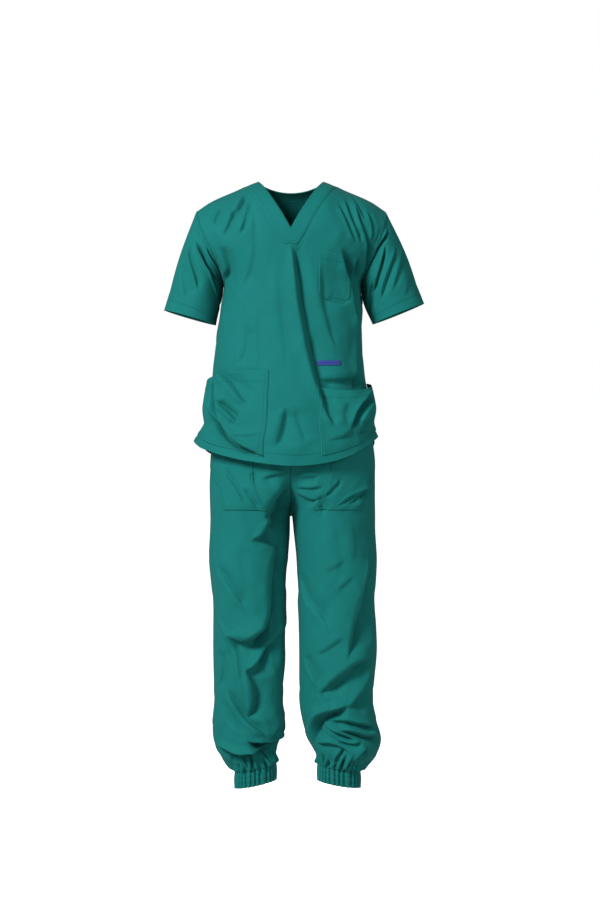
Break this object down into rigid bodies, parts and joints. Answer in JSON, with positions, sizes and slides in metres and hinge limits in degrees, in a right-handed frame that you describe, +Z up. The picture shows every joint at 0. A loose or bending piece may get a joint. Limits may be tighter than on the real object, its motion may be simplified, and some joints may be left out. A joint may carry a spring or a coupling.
{
  "type": "scrub suit",
  "caption": "Short-sleeved V-neck scrub top worn over scrub trousers with gathered ankle cuffs, hollow and open at neck, sleeves, hem and cuffs.",
  "frame": {"origin": "midway between the two high points of the shoulders at the neck, where the wearer carries the suit", "axes": "+Z up, the front faces -Y, the wearer's left is +X"},
  "size_m": [0.5912, 0.293, 1.3778],
  "materials": {
    "cloth": "plain weave, matte with a slight sheen",
    "label": "woven ribbon, satin"
  },
  "bodies": {
    "root": {"top_front": "cloth", "top_back": "cloth", "sleeve_left": "cloth", "sleeve_right": "cloth", "neck_band": "cloth", "chest_pocket": "cloth", "hip_pocket_left": "cloth", "hip_pocket_right": "cloth", "pocket_label": "label", "waistband": "cloth", "leg_front_left": "cloth", "leg_front_right": "cloth", "leg_back_left": "cloth", "leg_back_right": "cloth", "side_pocket_left": "cloth", "side_pocket_right": "cloth", "cuff_left": "cloth", "cuff_right": "cloth"}
  },
  "joints": []
}
